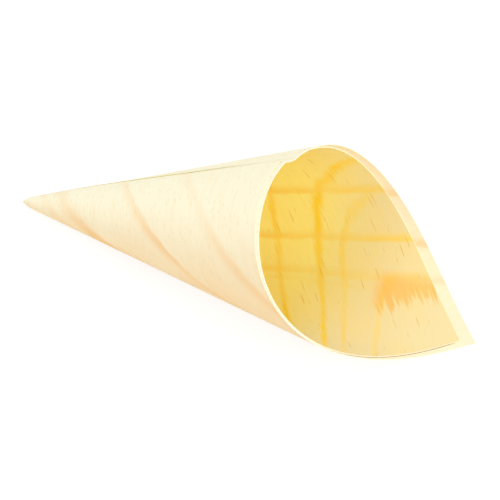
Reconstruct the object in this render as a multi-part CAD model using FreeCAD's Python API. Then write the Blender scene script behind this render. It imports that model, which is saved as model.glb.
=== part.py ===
import FreeCAD, Part
import Sketcher
import math
import os

# Wooden food cone: one sheet of thin veneer, twice as long as it is high, wound two turns round a
# narrow cone whose tip is the middle of one long side. Each turn takes up a square half of the
# sheet, so at the mouth each turn ends in two straight cut edges that meet in a pointed corner.
# The wall is a chain of right cones, each with its own half angle, that share their tangent planes
# where they meet, so it is bent from the flat sheet without stretching. Each stretch of the chain
# is a profile of the wall turned about that stretch's own axis.
# The model is made with the cone's middle axis along X and its apex at the origin. At the end the
# whole cone is laid on its side, on a small flat spot, as it comes to rest.
doc = FreeCAD.newDocument("wooden_food_cone")

# Driving sizes, in millimetres and degrees. Distances from the apex are measured along the sheet.
SIZES = (
    ("veneer", 0.5, "thickness of the sheet"),
    ("turn_angle", 91.3, "flat angle of the sheet that one turn takes up"),
    ("oval_angle", 2.33, "lean of the flatter and the rounder quarters' axes from the middle axis"),
    ("lead_angle", 12.5, "turn from the outer free edge to the middle of the flatter quarter behind it"),
    ("rest_angle", 4.0, "flat angle of the flat spot that the cone lies on"),
    ("outer_near", 128.9, "apex to the outer turn's cut edge beside the outer free edge"),
    ("outer_near_angle", 1.0, "flat angle from the start of the turn to the foot of that edge"),
    ("outer_far", 134.5, "apex to the outer turn's other cut edge"),
    ("outer_far_angle", 94.3, "flat angle from the start of the turn to the foot of that edge"),
    ("inner_near", 129.4, "apex to the inner turn's first cut edge"),
    ("inner_near_angle", 2.8, "flat angle from the start of the turn to the foot of that edge"),
    ("inner_far", 130.7, "apex to the inner turn's other cut edge, beside the inner free edge"),
    ("inner_far_angle", 93.2, "flat angle from the start of the turn to the foot of that edge"),
    ("seam_miss", 4.1, "distance by which the line of the outer free edge misses the apex"),
    ("hollow_radius", 0.9, "smallest inside radius, where the hollow starts"),
    ("tip_start", 4.9, "apex to the blunt end of the pressed tip, along the middle axis"),
    ("tip_radius", 0.6, "radius of the blunt end"),
)
sheet = doc.addObject("Spreadsheet::Sheet", "Sizes")
for row, (name, value, note) in enumerate(SIZES, start=1):
    sheet.set(f"A{row}", note)
    sheet.set(f"B{row}", str(value))
    sheet.setAlias(f"B{row}", name)
doc.recompute()


def size(name):
    return float(sheet.get(name))


def angle_size(name):
    return math.radians(size(name))


# Half angles of the round cone, and of the flatter and the rounder quarters that make it oval.
# The quarters' axes lean from the middle axis, square to each other, and a quarter's half angle
# differs from its neighbour's by the angle between their axes.
FULL_TURN_ANGLE = 360
TINY = 1e-9
lean = angle_size("oval_angle")
quarter_half = math.atan2(1, math.cos(lean))
angle_change = math.acos(math.cos(lean) ** 2)
half_angle = math.asin(size("turn_angle") / FULL_TURN_ANGLE)
flatter_angle = half_angle + angle_change / 2
rounder_angle = half_angle - angle_change / 2
PLANE_ANGLE = math.pi / 2


# A frame of the chain: the apex that this stretch of the sheet turns about, the direction along
# the wall from it and the direction out of the wall
class Frame:
    def __init__(self, apex, along, out):
        self.apex = apex
        self.along = along
        self.out = out

    def axis(self, cone_angle):
        return self.along * math.cos(cone_angle) - self.out * math.sin(cone_angle)

    def point(self, reach, depth):
        return self.apex + self.along * reach - self.out * depth

    def rolled(self, cone_angle, turned):
        turn = FreeCAD.Rotation(self.axis(cone_angle), math.degrees(turned))
        return Frame(self.apex, turn.multVec(self.along), turn.multVec(self.out))

    def slid(self, distance):
        return Frame(self.apex + self.along * distance, self.along, self.out)


def top_frame():
    rise = flatter_angle - lean
    along = FreeCAD.Vector(math.cos(rise), math.sin(rise), 0)
    out = FreeCAD.Vector(-math.sin(rise), math.cos(rise), 0)
    return Frame(FreeCAD.Vector(0, 0, 0), along, out)


# The flat spot: between two shoulders, rounder than the quarter that they replace, that touch its
# plane. From a shoulder's half angle follow how far it turns from the joint before it, and half of
# the flat angle that is left for the spot.
def shoulder_turn(joint, shoulder_angle):
    axis = joint.axis(shoulder_angle)
    slant = math.asin(math.sin(shoulder_angle) / math.hypot(axis.x, axis.y)) - math.atan2(axis.y, axis.x)
    down = FreeCAD.Vector(-math.sin(slant), -math.cos(slant), 0)
    share = (joint.out.dot(down) - math.sin(shoulder_angle) ** 2) / math.cos(shoulder_angle) ** 2
    turned = math.acos(min(1.0, share))
    return turned, math.asin(joint.rolled(shoulder_angle, turned).along.z)


def shoulder_for(joint, half_spot):
    low = flatter_angle / 2
    high = flatter_angle
    while high - low > TINY:
        middle = (low + high) / 2
        if shoulder_turn(joint, middle)[1] > half_spot:
            low = middle
        else:
            high = middle
    return low


# The stretches of one turn from the outer free edge on, each with its half angle and how far it
# turns. A plane stretch has a half angle of ninety degrees. The last two, from the far side up to
# the free edge, are slid along the wall at their first line, so that the turn ends one sheet
# below its own start and the next turn goes on from there.
lead = angle_size("lead_angle")
seam = top_frame().rolled(flatter_angle, -lead)
first_joint = seam.rolled(flatter_angle, quarter_half + lead)
second_joint = first_joint.rolled(rounder_angle, 2 * quarter_half)
shoulder_angle = shoulder_for(second_joint, angle_size("rest_angle") / 2)
shoulder_span = shoulder_turn(second_joint, shoulder_angle)[0]
STRETCHES = (
    ("top_behind_edge", flatter_angle, quarter_half + lead),
    ("near_side", rounder_angle, 2 * quarter_half),
    ("near_shoulder", shoulder_angle, shoulder_span),
    ("flat_spot", PLANE_ANGLE, angle_size("rest_angle")),
    ("far_shoulder", shoulder_angle, shoulder_span),
    ("far_side", rounder_angle, 2 * quarter_half),
    ("top_before_edge", flatter_angle, quarter_half - lead),
)
FIRST_SLID = 5
veneer = size("veneer")


def closed_frames():
    frames = [seam]
    for name, cone_angle, span in STRETCHES:
        frames.append(frames[-1].rolled(cone_angle, span))
    return frames


def slides():
    across = seam.along.cross(seam.out)
    lines = [frame.along for frame in closed_frames()[FIRST_SLID:FIRST_SLID + 2]]
    sinks = [line.dot(seam.out) for line in lines]
    drifts = [line.dot(across) for line in lines]
    whole = sinks[0] * drifts[1] - sinks[1] * drifts[0]
    return [-veneer * drifts[1] / whole, veneer * drifts[0] / whole]


def wound_frames():
    steps = [0.0] * FIRST_SLID + slides()
    frames = []
    frame = seam
    slid = 0.0
    for step, (name, cone_angle, span) in zip(steps, STRETCHES):
        frame = frame.slid(step)
        slid += step
        frames.append((frame, slid))
        frame = frame.rolled(cone_angle, span)
    return frames


CLOSED = [(frame, 0.0) for frame in closed_frames()[:-1]]
WOUND = wound_frames()


# A place on the sheet is a stretch's number plus the share of that stretch that is passed
def frame_at(chain, place):
    number = max(0, min(math.floor(place), len(STRETCHES) - 1))
    cone_angle, span = STRETCHES[number][1:]
    return chain[number][0].rolled(cone_angle, span * (place - number)), cone_angle


def flat_span(number):
    name, cone_angle, span = STRETCHES[number]
    return span * math.sin(cone_angle)


def flat_angle(place):
    return sum(flat_span(number) * max(0.0, min(1.0, place - number)) for number in range(len(STRETCHES)))


def place_of(flat):
    number = 0
    passed = 0.0
    while number < len(STRETCHES) - 1 and passed + flat_span(number) < flat:
        passed += flat_span(number)
        number += 1
    return number + (flat - passed) / flat_span(number)


# The mouth. A straight cut edge is a straight line on the flat sheet. There each stretch is a
# sector whose own apex follows from the slides and from the depth that the turn lies at, and the
# edge's reach is where the sector's line at that flat angle meets the straight line.
def edge_reach(edge, depth, place):
    foot = angle_size(edge + "_angle")
    shortfall = 0.0
    last_slid = 0.0
    last_sunk = depth / math.tan(STRETCHES[0][1])
    number = max(0, min(math.floor(place), len(STRETCHES) - 1))
    for count in range(number + 1):
        sunk = depth / math.tan(STRETCHES[count][1])
        moved = WOUND[count][1] - last_slid + sunk - last_sunk
        shortfall += moved * math.cos(flat_angle(count) - foot)
        last_slid = WOUND[count][1]
        last_sunk = sunk
    return (size(edge) - shortfall) / math.cos(flat_angle(place) - foot) + last_sunk


def corner_place(near, far, depth):
    low = 0.0
    high = float(len(STRETCHES))
    while high - low > TINY:
        middle = (low + high) / 2
        if edge_reach(near, depth, middle) < edge_reach(far, depth, middle):
            low = middle
        else:
            high = middle
    return low


# A stretch of wall: its profile, drawn along the wall from the stretch's apex, with the thickness
# measured inwards, and turned about the stretch's own axis
MOUTH_RATIO = 1.05
FAR_RATIO = 1.2
WALL_START_RATIO = 0.8
longest_reach = math.hypot(size("outer_near"), size("outer_far"))
mouth_reach = longest_reach * MOUTH_RATIO
far_reach = longest_reach * FAR_RATIO
hollow_station = (size("hollow_radius") + 3 * veneer) / math.tan(flatter_angle - lean)
wall_start = hollow_station * WALL_START_RATIO


def profile_sketch(label, frame, corners):
    sketch = doc.addObject("Sketcher::SketchObject", label)
    facing = FreeCAD.Rotation(frame.along, frame.out, FreeCAD.Vector(), "XYZ")
    sketch.Placement = FreeCAD.Placement(frame.apex, facing)
    points = [FreeCAD.Vector(reach, -depth, 0) for reach, depth in corners]
    for index, point in enumerate(points):
        sketch.addGeometry(Part.LineSegment(point, points[(index + 1) % len(points)]), False)
        sketch.addConstraint(Sketcher.Constraint("Block", index))
    return sketch


def turned_stretch(label, frame, stretch, corners):
    name, cone_angle, span = stretch
    turned = doc.addObject("Part::Revolution", f"{label}_{name}")
    turned.Source = profile_sketch(f"{label}_{name}_profile", frame, corners)
    turned.Axis = frame.axis(cone_angle)
    turned.Base = frame.apex
    turned.Angle = math.degrees(span)
    turned.Solid = True
    return turned


def wall_stretches(label, chain, numbers, depth):
    walls = []
    for number in numbers:
        frame, slid = chain[number]
        start = wall_start - slid
        corners = [(start, depth), (mouth_reach, depth),
                   (mouth_reach, depth + veneer), (start, depth + veneer)]
        walls.append(turned_stretch(label, frame, STRETCHES[number], corners))
    return walls


# What lies past a cut edge is trimmed off by a block whose near side follows the edge, square to
# the sheet
TRIM_MARGIN = 2.0
TRIM_COUNT = 16
TRIM_OVERLAP_ANGLE = math.radians(3)


def edge_trim(label, edge, depth, first, last):
    sections = []
    for count in range(TRIM_COUNT + 1):
        place = place_of(first + (last - first) * count / TRIM_COUNT)
        frame, cone_angle = frame_at(WOUND, place)
        reach = edge_reach(edge, depth, place)
        corners = [frame.point(reach, depth - TRIM_MARGIN),
                   frame.point(reach, depth + veneer + TRIM_MARGIN),
                   frame.point(far_reach, depth + veneer + TRIM_MARGIN),
                   frame.point(far_reach, depth - TRIM_MARGIN)]
        sections.append(Part.makePolygon(corners + corners[:1]))
    block = doc.addObject("Part::Feature", label)
    block.Shape = Part.makeLoft(sections, True, False)
    return block


# What lies before the hollow is left to the tip
tip_room = doc.addObject("Part::Box", "tip_room")
tip_room.Length = 2 * hollow_station
tip_room.Width = 2 * hollow_station
tip_room.Height = 2 * hollow_station
tip_room.Placement.Base = FreeCAD.Vector(-hollow_station, -hollow_station, -hollow_station)


def make_turn(label, depth):
    near = f"{label}_near"
    far = f"{label}_far"
    corner = flat_angle(corner_place(near, far, depth))
    whole = flat_angle(len(STRETCHES))
    trims = doc.addObject("Part::Compound", f"{label}_trims")
    trims.Links = [tip_room,
                   edge_trim(f"{near}_trim", near, depth, 0.0, corner + TRIM_OVERLAP_ANGLE),
                   edge_trim(f"{far}_trim", far, depth, corner - TRIM_OVERLAP_ANGLE, whole)]
    walls = []
    for wall in wall_stretches(label, WOUND, range(len(STRETCHES)), depth):
        cut = doc.addObject("Part::Cut", f"{wall.Label}_wall")
        cut.Base = wall
        cut.Tool = trims
        walls.append(cut)
    return walls


# The pressed tip: the turns lie crushed together, so it is one solid end from the blunt end to where
# the hollow starts. Its stretches are filled up to their own axes, and the part in common with a
# blunter round cone gives the pressed shape.
PRESS_RATIO = 1.15


def filled_stretch(number):
    name, cone_angle, span = STRETCHES[number]
    reach = 2 * hollow_station
    if cone_angle == PLANE_ANGLE:
        inner = (reach, reach * math.tan(flatter_angle))
    else:
        height = reach * math.cos(cone_angle)
        inner = (height * math.cos(cone_angle), height * math.sin(cone_angle))
    return turned_stretch("tip", CLOSED[number][0], STRETCHES[number], [(0, 0), (reach, 0), inner])


def make_tip():
    filled = doc.addObject("Part::MultiFuse", "tip_filled")
    filled.Shapes = [filled_stretch(number) for number in range(len(STRETCHES))]
    press = doc.addObject("Part::Cone", "tip_press")
    press.Radius1 = size("tip_radius")
    press.Radius2 = hollow_station * math.tan(rounder_angle + lean) * PRESS_RATIO
    press.Height = hollow_station - size("tip_start")
    press.Placement = FreeCAD.Placement(FreeCAD.Vector(size("tip_start"), 0, 0),
                                        FreeCAD.Rotation(FreeCAD.Vector(0, 1, 0), 90))
    tip = doc.addObject("Part::Common", "pressed_tip")
    tip.Base = filled
    tip.Tool = press
    return tip


# The overlap: the outer free edge is straight on the sheet but misses the apex, so towards the tip
# a narrow wedge of the sheet laps over the turn's own end. The wedge is kept out of a longer wall.
OVERLAP_COUNT = 14
OVERLAP_POINT_COUNT = 3
OVERLAP_MARGIN = 0.4
OVERLAP_END_RATIO = 0.95
OVERLAP_KEEP_ANGLE = 3


def free_edge_turn(reach):
    full_reach = edge_reach("outer_near", 0.0, 0.0)
    return math.asin(size("seam_miss") / full_reach) - math.asin(size("seam_miss") / reach)


def overlap_frame(flat):
    around = flat if flat > 0 else flat + flat_angle(len(STRETCHES))
    return frame_at(CLOSED, place_of(around))[0]


def at_station(frame, station, depth):
    reach = (station - frame.apex.x + frame.out.x * depth) / frame.along.x
    return frame.point(reach, depth)


def make_overlap():
    last_station = edge_reach("outer_near", 0.0, 0.0) * OVERLAP_END_RATIO * math.cos(half_angle)
    keep_past = math.radians(OVERLAP_KEEP_ANGLE) * math.sin(flatter_angle)
    sections = []
    for step in range(OVERLAP_COUNT + 1):
        station = hollow_station * (last_station / hollow_station) ** (step / OVERLAP_COUNT)
        start = free_edge_turn(station / math.cos(half_angle))
        frames = [overlap_frame(start + (keep_past - start) * point / OVERLAP_POINT_COUNT)
                  for point in range(OVERLAP_POINT_COUNT + 1)]
        outside = [at_station(frame, station, -OVERLAP_MARGIN) for frame in frames]
        inside = [at_station(frame, station, veneer + OVERLAP_MARGIN) for frame in frames[::-1]]
        sections.append(Part.makePolygon(outside + inside + outside[:1]))
    keep = doc.addObject("Part::Feature", "overlap_keep")
    keep.Shape = Part.makeLoft(sections, True, False)
    walls = doc.addObject("Part::MultiFuse", "overlap_walls")
    walls.Shapes = wall_stretches("overlap", CLOSED, range(FIRST_SLID, len(STRETCHES)), 0.0)
    wedge = doc.addObject("Part::Common", "overlap_wedge")
    wedge.Base = walls
    wedge.Tool = keep
    return wedge


# The rest: the cone lies on its flat spot, with the middle of the spot along X
def rest_placement():
    middle = frame_at(CLOSED, 3.5)[0]
    return FreeCAD.Placement(FreeCAD.Vector(), FreeCAD.Rotation(
        middle.along, FreeCAD.Vector(), middle.out * -1, "XZY").inverted())


outer_turn = make_turn("outer", 0.0)
inner_turn = make_turn("inner", veneer)
tip = make_tip()
overlap = make_overlap()
cone = doc.addObject("Part::MultiFuse", "veneer_cone")
cone.Shapes = outer_turn + inner_turn + [tip, overlap]
cone.Label = "veneer_cone"
doc.recompute()

# The part's origin is below the middle of its box, on the surface that it lies on
cone.Placement = rest_placement()
doc.recompute()
lying = cone.Shape.optimalBoundingBox(False, False)
middle = FreeCAD.Vector((lying.XMin + lying.XMax) / 2, (lying.YMin + lying.YMax) / 2, 0)
cone.Placement = FreeCAD.Placement(cone.Placement.Base - middle, cone.Placement.Rotation)
doc.recompute()

for item in doc.Objects:
    if "Invalid" in item.State or "Error" in item.State:
        raise RuntimeError(f"{item.Label} failed: {item.State}")
if cone.Shape.isNull() or not cone.Shape.isValid():
    raise RuntimeError("the cone's shape is not valid")
if len(cone.Shape.Solids) != 1:
    raise RuntimeError(f"the cone is {len(cone.Shape.Solids)} solids")
box = cone.Shape.optimalBoundingBox(False, False)
print("solids", len(cone.Shape.Solids), "faces", len(cone.Shape.Faces), "volume", round(cone.Shape.Volume, 1))
print("box", round(box.XLength, 2), round(box.YLength, 2), round(box.ZLength, 2), "lowest", round(box.ZMin, 4))

os.makedirs("parts", exist_ok=True)
cone.Shape.exportStep(f"parts/{cone.Label}.step")
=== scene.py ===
import bpy
import math
from mathutils import Matrix, Quaternion, Vector


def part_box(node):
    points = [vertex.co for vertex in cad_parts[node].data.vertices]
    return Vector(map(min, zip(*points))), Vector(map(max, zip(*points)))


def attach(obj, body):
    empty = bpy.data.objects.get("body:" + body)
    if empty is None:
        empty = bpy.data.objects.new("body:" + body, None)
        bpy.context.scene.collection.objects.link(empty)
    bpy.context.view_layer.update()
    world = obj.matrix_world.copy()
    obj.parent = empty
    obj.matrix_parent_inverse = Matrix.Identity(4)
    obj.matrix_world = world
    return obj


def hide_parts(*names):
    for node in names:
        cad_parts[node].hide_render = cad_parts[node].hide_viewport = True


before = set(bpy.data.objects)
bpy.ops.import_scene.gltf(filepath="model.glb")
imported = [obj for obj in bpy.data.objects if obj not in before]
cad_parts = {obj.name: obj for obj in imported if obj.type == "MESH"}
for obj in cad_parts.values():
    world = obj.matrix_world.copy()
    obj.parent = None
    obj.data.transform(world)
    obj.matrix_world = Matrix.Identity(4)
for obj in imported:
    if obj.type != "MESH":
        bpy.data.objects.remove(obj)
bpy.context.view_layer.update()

# Wooden food cone: one long sheet of pine veneer wound two turns. The wall is a chain of right
# cones that touch along their joints, so it is bent from the flat sheet without stretching, and
# every point of it keeps its place on the flat sheet for the grain.

# Sizes in metres and radians. A flat angle is an angle on the flat sheet, seen from the apex.
MM = 0.001
DEG = math.pi / 180
VENEER = 0.5 * MM
# The flat angle that one turn takes up, how far the axes of the flatter and the rounder quarters
# lean from the middle axis, and the turn from the outer free edge to the middle of the flatter
# quarter behind it
TURN = 91.3 * DEG
LEAN = 2.33 * DEG
LEAD = 12.5 * DEG
# The flat angle of the spot that the cone lies on
REST = 4.0 * DEG
# How far the line of the outer free edge misses the apex
SEAM_MISS = 4.1 * MM
# The four straight cut edges at the mouth: distance from the apex, and the flat angle from the
# start of the turn to the edge's nearest point
EDGES = {
    "outer_near": (128.9 * MM, 1.0 * DEG),
    "outer_far": (134.5 * MM, 94.3 * DEG),
    "inner_near": (129.4 * MM, 2.8 * DEG),
    "inner_far": (130.7 * MM, 93.2 * DEG),
}
# The smallest inside radius, and how far the blunt end of the pressed tip is from the apex, along
# the middle axis, and its radius
HOLLOW_RADIUS = 0.9 * MM
TIP_START = 4.9 * MM
TIP_RADIUS = 0.6 * MM
HALVINGS = 40

# The section is two flatter and two rounder quarters. quarter_half is half of the angle that a
# quarter spans round its own axis.
quarter_half = math.atan2(1, math.cos(LEAN))
angle_change = math.acos(math.cos(LEAN) ** 2)
half_angle = math.asin(TURN / (2 * math.pi))
flatter = half_angle + angle_change / 2
rounder = half_angle - angle_change / 2


# The last value between low and high for which a test holds
def last_that(holds, low, high):
    for _ in range(HALVINGS):
        middle = (low + high) / 2
        if holds(middle):
            low = middle
        else:
            high = middle
    return low


# A frame of the chain is its apex, the direction along the wall and the direction out of it
def axis_of(frame_in, cone_angle):
    return frame_in[1] * math.cos(cone_angle) - frame_in[2] * math.sin(cone_angle)


def rolled(frame_in, cone_angle, turned):
    turn = Quaternion(axis_of(frame_in, cone_angle), turned)
    return (frame_in[0], turn @ frame_in[1], turn @ frame_in[2])


def point_on(frame_in, reach, depth):
    return frame_in[0] + frame_in[1] * reach - frame_in[2] * depth


rise = flatter - LEAN
top = (Vector((0, 0, 0)), Vector((math.cos(rise), math.sin(rise), 0)),
       Vector((-math.sin(rise), math.cos(rise), 0)))
seam = rolled(top, flatter, -LEAD)
second_joint = rolled(rolled(seam, flatter, quarter_half + LEAD), rounder, 2 * quarter_half)


# How far a shoulder of this half angle turns until it faces down, and how far its wall then lies
# to the side. The two shoulders are on each side of the flat spot that the cone lies on.
def shoulder_turn(angle):
    axis = axis_of(second_joint, angle)
    slant = math.asin(math.sin(angle) / math.hypot(axis.x, axis.y)) - math.atan2(axis.y, axis.x)
    down = Vector((-math.sin(slant), -math.cos(slant), 0))
    share = (second_joint[2].dot(down) - math.sin(angle) ** 2) / math.cos(angle) ** 2
    turned = math.acos(min(1.0, share))
    return turned, math.asin(rolled(second_joint, angle, turned)[1].z)


shoulder = last_that(lambda angle: shoulder_turn(angle)[1] > REST / 2, flatter / 2, flatter)
shoulder_span = shoulder_turn(shoulder)[0]
# One turn of the wall from the outer free edge on: the half angle of each stretch and how far it
# spans round its own axis. A plane stretch has a half angle of a right angle.
STRETCHES = (
    (flatter, quarter_half + LEAD),
    (rounder, 2 * quarter_half),
    (shoulder, shoulder_span),
    (math.pi / 2, REST),
    (shoulder, shoulder_span),
    (rounder, 2 * quarter_half),
    (flatter, quarter_half - LEAD),
)
FLAT_SPOT = 3
FIRST_SLID = 5
# The flat angle at which each stretch starts, and that of the whole turn
starts = [0.0]
for angle, span in STRETCHES:
    starts.append(starts[-1] + span * math.sin(angle))
WHOLE = starts[-1]

# The closed chain ends where it starts. In the wound chain the last two stretches slide along
# their joints, so that the turn ends one veneer below its own start.
closed = [seam]
for angle, span in STRETCHES:
    closed.append(rolled(closed[-1], angle, span))
across = seam[1].cross(seam[2])
slid = (FIRST_SLID, FIRST_SLID + 1)
sinks = [closed[number][1].dot(seam[2]) for number in slid]
drifts = [closed[number][1].dot(across) for number in slid]
determinant = sinks[0] * drifts[1] - sinks[1] * drifts[0]
slides = [0.0] * FIRST_SLID
slides += [-VENEER * drifts[1] / determinant, VENEER * drifts[0] / determinant]
wound = []
slid_by = []
place = seam
passed = 0.0
for step, (angle, span) in zip(slides, STRETCHES):
    place = (place[0] + place[1] * step, place[1], place[2])
    passed += step
    wound.append(place)
    slid_by.append(passed)
    place = rolled(place, angle, span)
turn_end = place


def stretch_of(flat):
    number = 0
    while number < len(STRETCHES) - 1 and starts[number + 1] < flat:
        number += 1
    return number


def frame_on(chain, flat):
    number = stretch_of(flat)
    angle = STRETCHES[number][0]
    return rolled(chain[number], angle, (flat - starts[number]) / math.sin(angle))


# How far from its apex a straight edge cuts the wall, at a depth below the outside
def edge_reach(edge, depth, flat):
    straight, foot = EDGES[edge]
    shortfall = 0.0
    last_slid = 0.0
    last_sunk = depth / math.tan(STRETCHES[0][0])
    for number in range(stretch_of(flat) + 1):
        sunk = depth / math.tan(STRETCHES[number][0])
        moved = slid_by[number] - last_slid + sunk - last_sunk
        shortfall += moved * math.cos(starts[number] - foot)
        last_slid = slid_by[number]
        last_sunk = sunk
    return (straight - shortfall) / math.cos(flat - foot) + last_sunk


# The flat angle at which two straight edges meet
def corner_of(near, far, depth):
    return last_that(lambda flat: edge_reach(near, depth, flat) < edge_reach(far, depth, flat),
                     WHOLE / 4, WHOLE * 3 / 4)


# The cone lies on its flat spot, with the middle of the spot along X and the origin below the
# middle of its box
lying = frame_on(closed, (starts[FLAT_SPOT] + starts[FLAT_SPOT + 1]) / 2)
east = lying[1]
up = -lying[2]
north = up.cross(east)
turned_down = Matrix((east, north, up)).to_3x3()

TIP_END = TIP_START / math.cos(half_angle)
# The air between the two turns, and how far the rim is eased back at both faces
GAP = 0.03 * MM
EASE = 0.06 * MM
# A small chip in the outer free edge: its reach, half its length, its depth and how square it is
CHIP_REACH = 87 * MM
CHIP_LENGTH = 1.6 * MM
CHIP_DEPTH = 0.5 * MM
CHIP_SQUARENESS = 4
# From this flat angle on, the columns of the grid no longer follow the outer free edge
KEEP_FLAT = 4 * DEG


def straight_edge(reach):
    full = edge_reach("outer_near", 0.0, 0.0)
    return math.asin(SEAM_MISS / full) - math.asin(min(1.0, SEAM_MISS / reach))


def free_edge(reach):
    chip = CHIP_DEPTH * math.exp(-((reach - CHIP_REACH) / CHIP_LENGTH) ** CHIP_SQUARENESS)
    return straight_edge(reach) + chip / reach


# The tip is pressed towards the middle axis, more so the nearer it is to the blunt end
hollow_start = (HOLLOW_RADIUS + 3 * VENEER) / math.tan(flatter - LEAN)
blunt = TIP_RADIUS / (TIP_START * math.tan(half_angle + LEAN))


def pressed(point):
    along = (point.x - TIP_START) / (hollow_start - TIP_START)
    if along >= 1:
        return point
    along = max(0.0, along)
    share = blunt + (1 - blunt) * along * (2 - along)
    return Vector((max(point.x, TIP_START), point.y * share, point.z * share))


# A point of the wound sheet from its flat angle, its reach and how deep it lies in the sheet
def sheet_point(flat, reach, depth):
    if flat < 0:
        spot = frame_on(closed, flat + WHOLE)
    elif flat <= WHOLE:
        spot = frame_on(wound, flat)
    else:
        spot = frame_on(wound, flat - WHOLE)
        depth += VENEER
    return pressed(point_on(spot, reach, depth))


OUTER_CORNER = corner_of("outer_near", "outer_far", 0.0)
INNER_CORNER = corner_of("inner_near", "inner_far", VENEER)


def mouth_reach(flat):
    if flat <= WHOLE:
        edge = "outer_near" if flat < OUTER_CORNER else "outer_far"
        return edge_reach(edge, 0.0, max(0.0, flat))
    edge = "inner_near" if flat - WHOLE < INNER_CORNER else "inner_far"
    return edge_reach(edge, VENEER, flat - WHOLE)


def flat_way(angle):
    return Vector((math.cos(angle), math.sin(angle)))


# Where the apex of a stretch lies on the flat sheet. It moves with the slides, and with the depth
# of the turn, which also shortens the reach by a little. start is where the turn's apex starts,
# and before is the flat angle of the turns before it.
def apex_from(start, flat, before, depth):
    apex = start.copy()
    last_slid = 0.0
    last_sunk = depth / math.tan(flatter)
    for number in range(stretch_of(flat) + 1):
        sunk = depth / math.tan(STRETCHES[number][0])
        moved = slid_by[number] - last_slid + sunk - last_sunk
        apex += flat_way(starts[number] + before) * moved
        last_slid = slid_by[number]
        last_sunk = sunk
    return apex, last_sunk


first_apex = Vector((0.0, 0.0))
into_second = VENEER / math.tan(flatter) - turn_end[0].dot(seam[1])
second_apex = apex_from(first_apex, WHOLE, 0, 0.0)[0] + flat_way(WHOLE) * into_second


def flat_apex(flat):
    if flat > WHOLE:
        return apex_from(second_apex, flat - WHOLE, WHOLE, VENEER)
    return apex_from(first_apex, max(0.0, flat), 0, 0.0)


# Columns of the grid run along the sheet, through both corners, and rows run from the tip out
EDGE_COLUMNS = 14
TURN_COLUMNS = 190
ROWS = 64
# Below 1, the rows lie a little closer together at the mouth
ROW_SPREAD = 0.9
# The share of the thickness over which the rim is eased
EASE_SHARE = 0.12
# Each layer's share of the thickness from the outer face in, and how far its rim is eased back
LAYERS = ((0.0, EASE), (EASE_SHARE, 0.0), (1 - EASE_SHARE, 0.0), (1.0, EASE))


def columns():
    stops = [KEEP_FLAT, OUTER_CORNER, WHOLE, WHOLE + INNER_CORNER, 2 * WHOLE]
    flats = []
    for first, last in zip(stops, stops[1:]):
        count = max(2, round(TURN_COLUMNS * (last - first) / WHOLE))
        flats += [first + (last - first) * step / count for step in range(count)]
    return flats + [2 * WHOLE]


# The points and faces of the sheet, each point's place on the flat sheet in millimetres with its
# depth share, how far it is from the free edge over it, and how far beyond the inner turn's rim
def build_sheet():
    spots = [(None, share / EDGE_COLUMNS) for share in range(EDGE_COLUMNS)]
    spots += [(flat, 1.0) for flat in columns()]
    last = len(spots) - 1
    thick = VENEER - GAP
    verts = []
    faces = []
    flats = []
    pasts = []
    clears = []
    grid = {}

    def add(column, row, layer):
        key = (column, row, layer)
        if key in grid:
            return grid[key]
        flat, share = spots[column]
        depth_share, ease = LAYERS[layer]
        rim = mouth_reach(KEEP_FLAT * share if flat is None else flat) - ease
        steady = KEEP_FLAT if flat is None else flat
        apex, sunk = flat_apex(steady)
        shift = sunk - apex.dot(flat_way(steady))
        reach = TIP_END + (rim - shift - TIP_END) * (row / ROWS) ** ROW_SPREAD + shift
        angle = flat
        if flat is None:
            start = free_edge(reach) + ease / reach
            angle = start + (KEEP_FLAT - start) * share
        if column == last:
            angle -= ease / reach
        grid[key] = len(verts)
        point = sheet_point(angle, reach, GAP / 2 + thick * depth_share)
        verts.append(turned_down @ point)
        on_sheet = apex + flat_way(angle) * (reach - sunk)
        flats.append((on_sheet.x / MM, on_sheet.y / MM, depth_share))
        pasts.append((WHOLE + straight_edge(reach) - angle) * reach / MM)
        inner_rim = mouth_reach(WHOLE + max(0.0, angle))
        clears.append(-1.0 if angle > WHOLE else (reach - inner_rim) / MM)
        return grid[key]

    for column in range(last):
        for row in range(ROWS):
            for layer, order in ((0, 1), (3, -1)):
                ring = [add(column, row, layer), add(column + 1, row, layer),
                        add(column + 1, row + 1, layer), add(column, row + 1, layer)]
                faces.append(ring[::order])
    # The cut edges round the sheet join the two faces
    around = [(column, ROWS) for column in range(last + 1)]
    around += [(last, row) for row in range(ROWS - 1, -1, -1)]
    around += [(column, 0) for column in range(last - 1, -1, -1)]
    around += [(0, row) for row in range(1, ROWS + 1)]
    for one, two in zip(around, around[1:]):
        for layer in range(3):
            ring = [add(*one, layer), add(*two, layer), add(*two, layer + 1), add(*one, layer + 1)]
            faces.append(ring[::-1])
    return verts, faces, flats, pasts, clears


verts, faces, flats, pasts, clears = build_sheet()
lowest = [min(point[side] for point in verts) for side in range(3)]
highest = [max(point[side] for point in verts) for side in range(2)]
box_low, box_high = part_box("veneer_cone")
box_middle = (box_low + box_high) / 2
base = Vector((box_middle.x - (lowest[0] + highest[0]) / 2,
               box_middle.y - (lowest[1] + highest[1]) / 2,
               box_low.z - lowest[2]))

SHARP_ANGLE = 35 * DEG
mesh = bpy.data.meshes.new("veneer_sheet")
mesh.from_pydata([point + base for point in verts], [], faces)
mesh.validate()
mesh.polygons.foreach_set("use_smooth", [True] * len(mesh.polygons))
mesh.set_sharp_from_angle(angle=SHARP_ANGLE)
# Each point's place on the flat sheet in millimetres, from the apex, with the depth share as Z
place_on_sheet = mesh.attributes.new("sheet", "FLOAT_VECTOR", "POINT")
place_on_sheet.data.foreach_set("vector", [number for spot in flats for number in spot])
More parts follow.
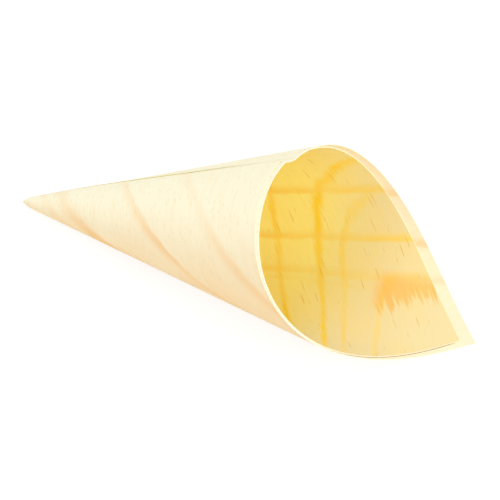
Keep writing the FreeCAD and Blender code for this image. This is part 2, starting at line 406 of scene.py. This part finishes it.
# The cut edges round the sheet are 1. past_edge is how far a point is from the outer free edge
# that lies over it, and past_rim how far a point of the outer turn reaches beyond the inner
# turn's rim, both in millimetres.
cuts = [0.0 if spot[2] in (0.0, 1.0) else 1.0 for spot in flats]
for name, values in (("cut", cuts), ("past_edge", pasts), ("past_rim", clears)):
    mesh.attributes.new(name, "FLOAT", "POINT").data.foreach_set("value", values)
sheet = bpy.data.objects.new("veneer_sheet", mesh)
bpy.context.scene.collection.objects.link(sheet)


# Materials. A colour is given as it looks, by the sRGB curve, and goes in as linear light.
def linear(red, green, blue):
    return tuple(((part / 255 + 0.055) / 1.055) ** 2.4 if part > 10 else part / 255 / 12.92
                 for part in (red, green, blue)) + (1.0,)


def grey(level):
    return (level, level, level, 1.0)


# A small helper keeps the node code short: each call makes a node, sets its inputs and gives its
# first output
class Nodes:
    def __init__(self, tree):
        self.tree = tree

    def node(self, kind, inputs=(), **settings):
        made = self.tree.nodes.new(kind)
        for name, value in settings.items():
            setattr(made, name, value)
        for key, value in dict(inputs).items():
            self.put(made.inputs[key], value)
        return made

    def put(self, socket, value):
        if isinstance(value, bpy.types.NodeSocket):
            self.tree.links.new(value, socket)
        else:
            socket.default_value = value

    def math(self, operation, one, two=0.0, clamp=False):
        made = self.node("ShaderNodeMath", {0: one, 1: two}, operation=operation, use_clamp=clamp)
        return made.outputs[0]

    def plus(self, one, two, clamp=False):
        return self.math("ADD", one, two, clamp)

    def less(self, one, two):
        return self.math("SUBTRACT", one, two)

    def times(self, one, *others, clamp=False):
        for other in others:
            one = self.math("MULTIPLY", one, other, clamp)
        return one

    # Goes smoothly from low to high while the value passes over the span
    def between(self, value, span, low=0.0, high=1.0):
        start, end = span
        made = self.node("ShaderNodeMapRange", {0: value, 1: start, 2: end, 3: low, 4: high},
                         interpolation_type="SMOOTHSTEP")
        return made.outputs[0]

    def mix(self, share, one, two):
        made = self.node("ShaderNodeMix", {0: share, 6: one, 7: two}, data_type="RGBA")
        return made.outputs[2]

    def stretched(self, vector, scale, move=(0, 0, 0)):
        made = self.node("ShaderNodeMapping", {"Vector": vector, "Scale": scale, "Location": move})
        return made.outputs[0]

    def noise(self, vector, scale, move=(0, 0, 0), detail=2.0, roughness=0.5):
        made = self.node("ShaderNodeTexNoise", {
            "Vector": self.stretched(vector, scale, move), "Scale": 1.0, "Detail": detail,
            "Roughness": roughness})
        return made.outputs["Fac"]

    def attribute(self, name, output="Fac"):
        return self.node("ShaderNodeAttribute", attribute_name=name).outputs[output]

    # 1 for rays that show the surface to the camera, straight or by a reflection
    def seen_ray(self):
        path = self.node("ShaderNodeLightPath")
        mirrored = self.math("MAXIMUM", path.outputs["Is Glossy Ray"],
                             path.outputs["Is Transmission Ray"])
        return self.math("MAXIMUM", path.outputs["Is Camera Ray"], mirrored)


def new_material(name):
    material = bpy.data.materials.new(name)
    material.use_nodes = True
    material.node_tree.nodes.clear()
    return material


# Growth rings on the flat sheet, by a ring field in millimetres: where each ring lies in it, how
# far it rises before and falls after that, and its strength, which counts squared
RINGS = (
    (-173, 2.5, 1.4, 0.7), (-161.3, 2.4, 1.4, 0.7), (-153.5, 3.0, 1.8, 1.0),
    (-140.2, 2.6, 1.6, 1.0), (-120, 4.0, 1.2, 0.5), (-99, 3.5, 1.2, 0.7), (-80, 4.0, 1.2, 0.5),
    (-61, 3.0, 1.2, 0.8), (-44, 3.5, 1.2, 0.5), (-21.2, 6.0, 1.8, 1.0), (-0.5, 5.5, 1.8, 0.9),
    (15.5, 6.5, 2.4, 0.75), (24, 8.0, 6.0, 1.2), (56.5, 7.0, 1.8, 1.1), (72, 4.0, 2.0, 0.3),
    (85, 8.0, 3.5, 0.8), (97, 7.0, 3.0, 0.4),
)
# On one half the rings run almost straight and slanted, with a slight bend, and another near the
# rim
SLANT = 0.78
SLANT_BEND = 0.00165
RIM_BEND_FROM = 60.0
RIM_BEND = 0.0005
# On the other they make the tall arches of wood that is peeled near the heart. These open towards
# the rim, round a middle line that leans to one side and curls near the rim. Each closes at its end
# towards the tip, and the wider ones do so nearer to the tip.
ARCH_X = -146.4
ARCH_LEAN = 0.16
ARCH_CURL_FROM = 78.0
ARCH_CURL = 0.0016
ARCH_CLOSING = 64.0
ARCH_FADE = 65.0
ARCH_POWER = 4.0
ARCH_SHIFT = 190.0
# The rings go over from arches to slants along this span of x
OVER_TO_SLANTS = (-75.0, -5.0)
# Waves that bend the rings: scale and place of the noise, detail, roughness and size
RING_WAVES = (
    ((0.03, 0.016, 0.0), (0, 0, 0), 2.0, 0.5, 5.0),
    ((0.35, 0.06, 0.0), (7, 3, 0), 3.0, 0.6, 2.4),
    ((2.2, 0.12, 0.0), (3, 9, 0), 2.0, 0.6, 1.8),
)
# The rings are weaker and stronger in patches
PATCH_SCALE = (0.05, 0.03, 0.0)
PATCH_PLACE = (11, 5, 0)
WEAK_RING, STRONG_RING = 0.55, 1.25


def growth_rings():
    group = bpy.data.node_groups.new("growth_rings", "ShaderNodeTree")
    group.interface.new_socket("Sheet", in_out="INPUT", socket_type="NodeSocketVector")
    group.interface.new_socket("Ring", in_out="OUTPUT", socket_type="NodeSocketFloat")
    group.interface.new_socket("Place", in_out="OUTPUT", socket_type="NodeSocketFloat")
    n = Nodes(group)
    source = n.node("NodeGroupInput").outputs[0]
    parts = n.node("ShaderNodeSeparateXYZ", {0: source})
    x, y = parts.outputs[0], parts.outputs[1]
    slanted = n.plus(n.less(x, n.times(y, SLANT)), n.times(y, y, SLANT_BEND))
    near_rim = n.math("MAXIMUM", n.less(y, RIM_BEND_FROM), 0.0)
    slanted = n.less(slanted, n.times(near_rim, near_rim, RIM_BEND))
    curl = n.math("MAXIMUM", n.less(y, ARCH_CURL_FROM), 0.0)
    lean = n.plus(n.times(y, ARCH_LEAN), n.times(curl, curl, ARCH_CURL))
    away = n.math("ABSOLUTE", n.less(n.less(x, lean), ARCH_X))
    closing = n.times(n.math("EXPONENT", n.math("DIVIDE", y, -ARCH_FADE)), ARCH_CLOSING)
    powers = n.plus(n.math("POWER", away, ARCH_POWER), n.math("POWER", closing, ARCH_POWER))
    arched = n.less(n.math("POWER", powers, 1 / ARCH_POWER), ARCH_SHIFT)
    half = n.between(x, OVER_TO_SLANTS)
    field = n.node("ShaderNodeMix", {0: half, 2: arched, 3: slanted}, data_type="FLOAT").outputs[0]
    for scale, move, detail, roughness, size in RING_WAVES:
        wave = n.noise(source, scale, move, detail, roughness)
        field = n.plus(field, n.times(n.less(wave, 0.5), size))
    total = 0.0
    for spot, rise_width, fall_width, strength in RINGS:
        rising = n.between(field, (spot - rise_width, spot), 0.0, strength)
        falling = n.between(field, (spot, spot + fall_width), 1.0, 0.0)
        total = n.plus(total, n.times(rising, rising, falling))
    patchy = n.noise(source, PATCH_SCALE, PATCH_PLACE)
    total = n.times(total, n.between(patchy, (0.3, 0.7), WEAK_RING, STRONG_RING))
    out = n.node("NodeGroupOutput")
    n.put(out.inputs[0], total)
    n.put(out.inputs[1], field)
    return group


# Colours of the wood: the outer face and its tan part, and the band of the outer turn that shows
# beyond the inner rim. The golden inside, deep down, near the mouth and in its clouds, is painted
# light: the light that comes through the thin sheet and bounces round inside the cone
OUTSIDE = linear(255, 250, 222)
TAN = linear(253, 220, 168)
BAND = linear(253, 238, 204)
GOLD_LIGHT_DEEP = linear(255, 239, 137)
GOLD_LIGHT_MOUTH = linear(240, 221, 166)
GOLD_CLOUD = linear(254, 222, 130)
# Growth rings outside, inside and shown through from the other turn as painted light, and the
# darker heart
RING_TAN = linear(252, 208, 146)
RING_GOLD = linear(255, 214, 40)
RING_BEHIND = linear(252, 213, 84)
HEART = linear(250, 186, 80)
# Fine marks, and painted shade: that of the seam, a thin shadow on the free edge and a line along
# the inner rim's step
FIBRE = linear(240, 214, 150)
TICK = linear(214, 196, 120)
CANAL = linear(226, 172, 48)
SEAM_SHADE = linear(164, 144, 34)
FREE_EDGE_SHADOW = linear(204, 182, 34)
RIM_STEP_SHADE = linear(170, 124, 50)
CUT_PALE = linear(255, 250, 230)
CUT_WARM = linear(252, 238, 204)

# The depth shares over which the outer face goes over to the inner one, and the flat angles over
# which the outer turn does
MID_SHEET = (0.45, 0.55)
TURN_BORDER = (WHOLE - 0.0005, WHOLE + 0.0005)
# The two faces have different fine grain, by this step in the noise
FACE_STEP = 5.0
# Noises on the flat sheet, mostly drawn out along the fibres: scale, place, detail and roughness
FINE = ((4.5, 0.10, 1.0), (0, 0, 0), 3.0, 0.65)
STREAKS = ((0.9, 0.035, 1.0), (5, 1, 0), 3.0, 0.6)
CLOUD = ((0.045, 0.03, 1.0), (2, 8, 0), 3.0, 0.55)
END_GRAIN = ((3.0, 3.0, 5.0), (0, 0, 0), 2.0, 0.6)
# Short marks along the fibres: the scale of their cells, the size of a mark in its cell and the
# share of the cells that have one
TICKS = ((1.1, 0.16, 1.0), 0.20, 0.35)
LONG_CANALS = ((0.62, 0.04, 1.0), 0.14, 0.21)
SHORT_CANALS = ((0.9, 0.11, 1.0), 0.16, 0.07)
MARK_CORE = 0.5
SHARE_BLUR = 0.02

# The spans below say where a look comes or goes: flat angles in radians, and lengths in
# millimetres. The painted golden light inside pales towards the mouth, over this reach.
GOLD_LIGHT_PALES = (112.0, 152.0)
# Outside, the rings are fainter beside the seam, on both sides of it, and towards the rim
PAST_SEAM = (0.2, 0.5)
BEFORE_SEAM = (WHOLE - 0.45, WHOLE - 0.1)
TO_RIM = (85.0, 110.0)
# Where in the ring field the rings inside end: the turn's own, and those shown through
OWN_RINGS_END = (16.0, 20.0)
BEHIND_RINGS_END = (18.0, 22.0)
# The heart lies within the narrowest arch, beyond a slanted line, and ends ragged towards the rim.
# Inside, the wider arches show everywhere and the narrowest only there.
HEART_FIELD = (-169.0, -173.5)
HEART_SLOPE = 0.55
HEART_FROM = (13.0, 21.0)
HEART_END = (101.0, 97.0)
HEART_RAGGED = 26.0
WIDER_ARCHES = (-170.0, -167.0)
THROUGH_SHARE = 0.85
# The tan part of the outer face, in flat angle
TAN_STARTS = (0.1, 0.6)
TAN_ENDS = (0.85, 1.45)
# The seam's shade beside the free edge: how far it goes round, how far it goes under the edge, and
# the reaches over which it comes from the tip and goes towards the rim
SHADE_ROUND = (0.012, 0.017)
SHADE_UNDER = (-1.2, -1.0)
SHADE_COMES = (55.0, 80.0)
SHADE_GOES = (85.0, 126.0)
# The painted shadow on the free edge: its width, and the reaches over which it comes and goes
EDGE_SHADOW_WIDTH = (0.4, 0.95)
EDGE_SHADOW_COMES = (12.0, 30.0)
EDGE_SHADOW_GOES = (80.0, 118.0)
# The painted shade along the inner rim's step: how far beyond the rim it starts and ends, and the
# flat angles over which it comes and goes before the rim's corner
LINE_STARTS = (-0.3, 0.0)
LINE_ENDS = (0.25, 0.55)
LINE_COMES = (INNER_CORNER - 0.3, INNER_CORNER - 0.15)
LINE_GOES = (INNER_CORNER - 0.02, INNER_CORNER)
SPECULAR = 0.3
BUMP_HEIGHT = 0.06 * MM
BUMP_STRENGTH = 0.6
ROUGHEST, SMOOTHEST = 0.78, 0.62


class Veneer(Nodes):
    # Where a point lies: its place on the flat sheet, its flat angle and reach, and which face and
    # turn it is on. The noises run with the fibres, across the long sheet.
    def __init__(self, tree):
        super().__init__(tree)
        self.place = self.attribute("sheet", "Vector")
        parts = self.node("ShaderNodeSeparateXYZ", {0: self.place})
        self.x, self.y, depth = parts.outputs[0], parts.outputs[1], parts.outputs[2]
        self.reach = self.math("SQRT", self.plus(self.times(self.x, self.x),
                                                 self.times(self.y, self.y)))
        self.around = self.math("ARCTAN2", self.y, self.x)
        self.inner_face = self.between(depth, MID_SHEET)
        self.outer_face = self.between(self.inner_face, (0.0, 1.0), 1.0, 0.0)
        self.inner_turn = self.between(self.around, TURN_BORDER)
        self.golden_face = self.times(self.inner_turn, self.inner_face)
        step = self.times(self.inner_face, FACE_STEP)
        self.grain = self.node("ShaderNodeCombineXYZ", {0: self.x, 1: self.y, 2: step}).outputs[0]
        self.fine = self.noise(self.grain, *FINE)
        self.streaks = self.noise(self.grain, *STREAKS)
        self.cloud = self.noise(self.grain, *CLOUD)
        self.wood = None

    def paint(self, share, colour):
        self.wood = self.mix(share, self.wood, colour)

    def dashes(self, scale, size, wanted):
        cells = self.node("ShaderNodeTexVoronoi",
                          {"Vector": self.stretched(self.grain, scale), "Scale": 1.0},
                          voronoi_dimensions="2D", feature="F1")
        chosen = self.node("ShaderNodeSeparateColor", {0: cells.outputs["Color"]}).outputs[0]
        near = self.between(cells.outputs["Distance"], (size * MARK_CORE, size), 1.0, 0.0)
        kept = self.between(chosen, (wanted, wanted + SHARE_BLUR), 1.0, 0.0)
        return self.times(near, kept)

    def paint_faces(self):
        tan = self.times(self.between(self.around, TAN_STARTS),
                         self.between(self.around, TAN_ENDS, 1.0, 0.0),
                         self.between(self.cloud, (0.25, 0.65), 0.6, 1.0))
        outside = self.mix(tan, OUTSIDE, TAN)
        # The golden inside is painted light, most golden deep down and paler towards the mouth
        golden = self.mix(self.between(self.reach, GOLD_LIGHT_PALES), GOLD_LIGHT_DEEP, GOLD_LIGHT_MOUTH)
        golden = self.mix(self.between(self.cloud, (0.4, 0.75), 0.0, 0.35), golden, GOLD_CLOUD)
        inside = self.mix(self.inner_turn, BAND, golden)
        self.wood = self.mix(self.inner_face, outside, inside)

    # The other turn lies one whole turn on, and its rings show faintly through the thin sheet:
    # painted light, for the light that comes through
    def paint_rings(self):
        rings = growth_rings()
        own = self.node("ShaderNodeGroup", {0: self.grain}, node_tree=rings)
        own_ring, own_field = own.outputs[0], own.outputs[1]
        one_turn_on = self.node("ShaderNodeVectorRotate", {"Vector": self.grain, "Angle": -WHOLE},
                                rotation_type="Z_AXIS").outputs[0]
        behind = self.node("ShaderNodeGroup", {0: one_turn_on}, node_tree=rings)
        through = self.times(behind.outputs[0], self.golden_face,
                             self.between(behind.outputs[1], BEHIND_RINGS_END, 1.0, 0.0))
        late = self.mix(self.golden_face, RING_TAN, RING_GOLD)
        strength = self.times(self.between(self.around, PAST_SEAM, 0.3, 1.0),
                              self.between(self.y, TO_RIM, 1.0, 0.3),
                              self.between(self.around, BEFORE_SEAM, 1.0, 0.5),
                              self.outer_face)
        slope = self.plus(self.y, self.times(self.x, HEART_SLOPE))
        in_heart = self.between(slope, HEART_FROM)
        inside = self.math("MAXIMUM", in_heart, self.between(own_field, WIDER_ARCHES))
        inside = self.times(inside, self.between(own_field, OWN_RINGS_END, 0.9, 0.0))
        strength = self.plus(strength, self.times(self.inner_face, inside))
        self.paint(self.times(own_ring, strength, clamp=True), late)
        self.paint(self.times(through, THROUGH_SHARE, clamp=True), RING_BEHIND)
        ragged = self.plus(self.y, self.times(self.less(self.streaks, 0.5), HEART_RAGGED))
        heart = self.times(self.between(own_field, HEART_FIELD), self.between(ragged, HEART_END),
                           in_heart, self.between(self.fine, (0.3, 0.7), 0.55, 0.95))
        self.paint(heart, HEART)
        self.paint(self.between(self.streaks, (0.45, 0.75), 0.0, 0.16), late)

    # Fibres, short dark ticks and the resin canals, which also press into the surface
    def paint_marks(self):
        ticks = self.dashes(*TICKS)
        long_canals = self.times(self.dashes(*LONG_CANALS),
                                 self.between(self.fine, (0.35, 0.55), 0.35, 1.0))
        short_canals = self.times(self.dashes(*SHORT_CANALS), 0.6)
        self.canals = self.plus(long_canals, short_canals, clamp=True)
        self.paint(self.between(self.fine, (0.35, 0.8), 0.0, 0.18), FIBRE)
        self.paint(self.times(ticks, self.between(self.inner_face, (0.0, 1.0), 0.30, 0.12)), TICK)
        self.paint(self.times(self.canals, self.between(self.golden_face, (0.0, 1.0), 0.12, 0.7)),
                   CANAL)

    # The turn's own end lies in the shade of the free edge, painted into its colour, most of all at
    # the chip. The free edge itself gets a thin painted shadow too, towards the tip.
    def paint_seam(self):
        past = self.attribute("past_edge")
        turned_past = self.math("DIVIDE", past, self.reach)
        shade = self.times(self.between(turned_past, SHADE_ROUND, 1.0, 0.0),
                           self.between(past, SHADE_UNDER), self.outer_face,
                           self.between(self.reach, SHADE_GOES, 0.9, 0.0),
                           self.between(self.reach, SHADE_COMES, 0.2, 1.0))
        self.paint(shade, SEAM_SHADE)
        # A thin painted shadow along the free edge itself
        from_edge = self.less(self.times(self.reach, WHOLE), past)
        edge_shadow = self.times(self.between(from_edge, EDGE_SHADOW_WIDTH, 1.0, 0.0),
                          self.between(self.reach, EDGE_SHADOW_GOES, 0.9, 0.1), self.outer_face,
                          self.between(self.reach, EDGE_SHADOW_COMES))
        self.paint(edge_shadow, FREE_EDGE_SHADOW)

    # A fine line of painted shade on the outer turn's inside, just beyond where the inner turn
    # ends, on the near side of its corner
    def paint_inner_rim(self):
        beyond = self.attribute("past_rim")
        line = self.times(self.between(beyond, LINE_STARTS),
                          self.between(beyond, LINE_ENDS, 1.0, 0.0),
                          self.times(self.inner_face, self.between(self.around, LINE_COMES)),
                          self.between(self.around, LINE_GOES, 0.8, 0.0))
        self.paint(line, RIM_STEP_SHADE)

    def paint_cut_edges(self):
        end_grain = self.noise(self.place, *END_GRAIN)
        cut_wood = self.mix(self.between(end_grain, (0.35, 0.7)), CUT_PALE, CUT_WARM)
        self.paint(self.attribute("cut"), cut_wood)

    def finish(self):
        relief = self.plus(self.times(self.fine, 0.7), self.times(self.streaks, 0.5))
        relief = self.less(relief, self.times(self.canals, 0.3))
        bump = self.node("ShaderNodeBump", {"Height": relief, "Distance": BUMP_HEIGHT,
                                            "Strength": BUMP_STRENGTH}).outputs[0]
        rough = self.between(self.fine, (0.2, 0.8), SMOOTHEST, ROUGHEST)
        shader = self.node("ShaderNodeBsdfPrincipled", {
            "Base Color": self.wood, "Roughness": rough, "Normal": bump,
            "Specular IOR Level": SPECULAR})
        self.node("ShaderNodeOutputMaterial", {0: shader.outputs[0]})


def veneer_material():
    material = new_material("pine_veneer")
    veneer = Veneer(material.node_tree)
    veneer.paint_faces()
    veneer.paint_rings()
    veneer.paint_marks()
    veneer.paint_seam()
    veneer.paint_inner_rim()
    veneer.paint_cut_edges()
    veneer.finish()
    return material


mesh.materials.append(veneer_material())
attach(sheet, "root")
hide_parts("veneer_cone")

# The floor is white to the camera, and keeps the cone's soft shadow. To the object it is plain
# pale grey.
FLOOR_GREY = 0.8
FLOOR_SEEN_GREY = 0.32
FLOOR_GLOW = 0.78
FLOOR_HALF = 4.0
FLOOR_BELOW = 0.2 * MM
WHITE = grey(1.0)


def floor_material():
    material = new_material("pale_floor")
    n = Nodes(material.node_tree)
    plain = n.node("ShaderNodeBsdfDiffuse", {"Color": grey(FLOOR_GREY)}).outputs[0]
    faint = n.node("ShaderNodeBsdfDiffuse", {"Color": grey(FLOOR_SEEN_GREY)}).outputs[0]
    glow = n.node("ShaderNodeEmission", {"Color": WHITE, "Strength": FLOOR_GLOW}).outputs[0]
    seen = n.node("ShaderNodeAddShader", {0: faint, 1: glow}).outputs[0]
    both = n.node("ShaderNodeMixShader", {0: n.seen_ray(), 1: plain, 2: seen}).outputs[0]
    n.node("ShaderNodeOutputMaterial", {0: both})
    return material


floor_corners = [(-FLOOR_HALF, -FLOOR_HALF, 0), (FLOOR_HALF, -FLOOR_HALF, 0),
                 (FLOOR_HALF, FLOOR_HALF, 0), (-FLOOR_HALF, FLOOR_HALF, 0)]
floor_mesh = bpy.data.meshes.new("floor")
floor_mesh.from_pydata(floor_corners, [], [(0, 1, 2, 3)])
floor = bpy.data.objects.new("floor", floor_mesh)
bpy.context.scene.collection.objects.link(floor)
floor_mesh.materials.append(floor_material())
floor.location.z = -FLOOR_BELOW

# Studio light: an even pale room, white where the camera sees it, and large soft lamps
ROOM_LIGHT = 0.58
world = bpy.data.worlds.new("studio")
bpy.context.scene.world = world
world.use_nodes = True
world.node_tree.nodes.clear()
room = Nodes(world.node_tree)
lit = room.node("ShaderNodeBackground", {"Color": WHITE, "Strength": ROOM_LIGHT}).outputs[0]
white = room.node("ShaderNodeBackground", {"Color": WHITE, "Strength": 1.0}).outputs[0]
shown = room.node("ShaderNodeMixShader", {0: room.seen_ray(), 1: lit, 2: white}).outputs[0]
room.node("ShaderNodeOutputWorld", {0: shown})

# Each lamp's place, width in metres and power in watts. All point at the cone.
LAMPS = {
    "key_lamp": (Vector((-0.35, 0.5, 1.1)), 0.8, 5.6),
    "mouth_lamp": (Vector((1.0, -0.45, 0.6)), 0.6, 6.8),
    "front_lamp": (Vector((-0.5, -1.1, 0.3)), 0.8, 3.3),
}
LAMP_AIM = Vector((0, 0, 0.02))
for name, (spot, width, power) in LAMPS.items():
    light = bpy.data.lights.new(name, "AREA")
    light.shape = "SQUARE"
    light.size = width
    light.energy = power
    lamp = bpy.data.objects.new(name, light)
    lamp.location = spot
    lamp.rotation_euler = (LAMP_AIM - spot).to_track_quat("-Z", "Y").to_euler()
    bpy.context.scene.collection.objects.link(lamp)

# The camera stands at the photograph's viewing angle
CAMERA_TURN = 32.284 * DEG
CAMERA_RISE = 47.129 * DEG
CAMERA_ROLL = -7.836 * DEG
CAMERA_SPOT = Vector((0.55992, -0.88122, 1.13544))
CAMERA_FOCUS_PX = 4182.0
IMAGE_PX = 500
SENSOR_WIDTH = 36
NEAREST, FARTHEST = 0.01, 20
backwards = Vector((math.cos(CAMERA_RISE) * math.sin(CAMERA_TURN),
                    -math.cos(CAMERA_RISE) * math.cos(CAMERA_TURN), math.sin(CAMERA_RISE)))
level = Vector((math.cos(CAMERA_TURN), math.sin(CAMERA_TURN), 0))
upright = backwards.cross(level)
to_right = level * math.cos(CAMERA_ROLL) + upright * math.sin(CAMERA_ROLL)
to_top = upright * math.cos(CAMERA_ROLL) - level * math.sin(CAMERA_ROLL)
camera_data = bpy.data.cameras.new("camera")
camera_data.sensor_width = SENSOR_WIDTH
camera_data.lens = CAMERA_FOCUS_PX / IMAGE_PX * SENSOR_WIDTH
camera_data.clip_start = NEAREST
camera_data.clip_end = FARTHEST
camera = bpy.data.objects.new("camera", camera_data)
facing = Matrix((to_right, to_top, backwards)).transposed().to_4x4()
camera.matrix_world = Matrix.Translation(CAMERA_SPOT) @ facing
bpy.context.scene.collection.objects.link(camera)
bpy.context.scene.camera = camera
bpy.context.scene.view_settings.view_transform = "Standard"
